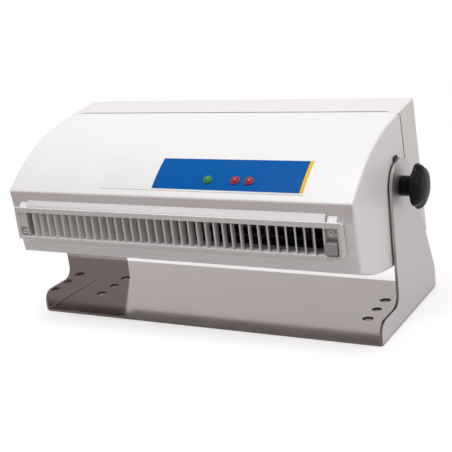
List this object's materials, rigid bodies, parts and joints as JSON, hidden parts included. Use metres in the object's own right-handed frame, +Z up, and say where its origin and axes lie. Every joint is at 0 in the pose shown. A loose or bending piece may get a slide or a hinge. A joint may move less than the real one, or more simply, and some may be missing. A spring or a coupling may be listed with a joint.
{
  "type": "ionizing blower",
  "caption": "Wide bench ionizing blower: curved housing with a fanned vane outlet, tilting in a bent steel stand with side clamp knobs.",
  "frame": {"origin": "centre of the stand's base plate, on its bottom face", "axes": "+X along the width to the right as seen from the outlet side, -Y out of the air outlet, +Z up"},
  "size_m": [0.503, 0.2279, 0.2332],
  "materials": {
    "stand_steel": "satin, cold rolled and bent",
    "cover_plastic": "fine orange peel",
    "cover_metal": "fine texture paint",
    "grille_plastic": "fine moulded grain",
    "screw_steel": "zinc plated",
    "label_film": "printed polyester film",
    "green_lens": "moulded lens",
    "red_lens": "moulded lens",
    "circuit_board": "solder mask",
    "duct_plastic": "moulded",
    "needle_steel": "ground points",
    "button_plastic": "brushed grain",
    "black_plastic": "moulded grain",
    "brush_fibre": "short bristles",
    "filter_foam": "open foam",
    "potting_black": "potted",
    "brass": "turned",
    "washer_rubber": "matte",
    "knob_plastic": "satin phenolic"
  },
  "bodies": {
    "stand": {"stand_bracket": "stand_steel"},
    "head": {"front_cover": "cover_plastic", "rear_cover": "cover_metal", "outlet_grille": "grille_plastic", "grille_screws": "screw_steel", "front_label": "label_film", "power_indicator": "green_lens", "fan_indicator": "red_lens", "alarm_indicator": "red_lens", "indicator_board": "circuit_board", "air_duct": "duct_plastic", "emitter_frame": "duct_plastic", "emitter_needles": "needle_steel", "left_fan_housing": "black_plastic", "right_fan_housing": "black_plastic", "left_intake_filter": "filter_foam", "right_intake_filter": "filter_foam", "left_intake_guard": "black_plastic", "right_intake_guard": "black_plastic", "fan_screws": "screw_steel", "high_voltage_supply": "potting_black", "control_board": "circuit_board", "board_components": "potting_black", "board_standoffs": "brass", "power_inlet": "black_plastic", "inlet_pins": "brass", "switch_bezel": "black_plastic", "speed_control": "screw_steel", "pivot_inserts": "brass", "friction_washers": "washer_rubber", "cover_screws": "screw_steel"},
    "left_rotor": {"left_fan_rotor": "black_plastic"},
    "right_rotor": {"right_fan_rotor": "black_plastic"},
    "cleaner": {"cleaner_button": "button_plastic", "cleaner_rail": "black_plastic", "cleaner_brushes": "brush_fibre"},
    "rocker": {"switch_rocker": "black_plastic"},
    "speed_dial": {"speed_knob": "black_plastic"},
    "left_knob": {"left_knob_grip": "knob_plastic", "left_knob_stud": "screw_steel"},
    "right_knob": {"right_knob_grip": "knob_plastic", "right_knob_stud": "screw_steel"}
  },
  "joints": [
    {"name": "head_tilt", "type": "hinge", "parent": "stand", "child": "head", "pos_m": [0, -0.003, 0.1515], "axis": [1, 0, 0], "range_deg": [-97, 83]},
    {"name": "left_fan_spin", "type": "hinge", "parent": "head", "child": "left_rotor", "pos_m": [-0.084, 0.0476, 0.14965], "axis": [0, 0.9925, 0.1219], "continuous": true},
    {"name": "right_fan_spin", "type": "hinge", "parent": "head", "child": "right_rotor", "pos_m": [0.084, 0.0476, 0.14965], "axis": [0, 0.9925, 0.1219], "continuous": true},
    {"name": "cleaner_push", "type": "slide", "parent": "head", "child": "cleaner", "axis": [0, 0.9999, 0.0105], "range_m": [0, 0.0035], "stiffness_N_per_m": 300, "springref_m": -0.004},
    {"name": "switch_rock", "type": "hinge", "parent": "head", "child": "rocker", "pos_m": [-0.1832, 0.0756, 0.13496], "axis": [1, 0, 0], "range_deg": [-20, 0]},
    {"name": "speed_turn", "type": "hinge", "parent": "head", "child": "speed_dial", "pos_m": [0.1832, 0.0764, 0.16125], "axis": [0, 0.9925, 0.1219], "range_deg": [-135, 135]},
    {"name": "left_knob_turn", "type": "hinge", "parent": "head", "child": "left_knob", "pos_m": [-0.2275, -0.003, 0.1515], "axis": [-1, 0, 0], "range_deg": [0, 360]},
    {"name": "right_knob_turn", "type": "hinge", "parent": "head", "child": "right_knob", "pos_m": [0.2275, -0.003, 0.1515], "axis": [1, 0, 0], "range_deg": [0, 360]}
  ]
}
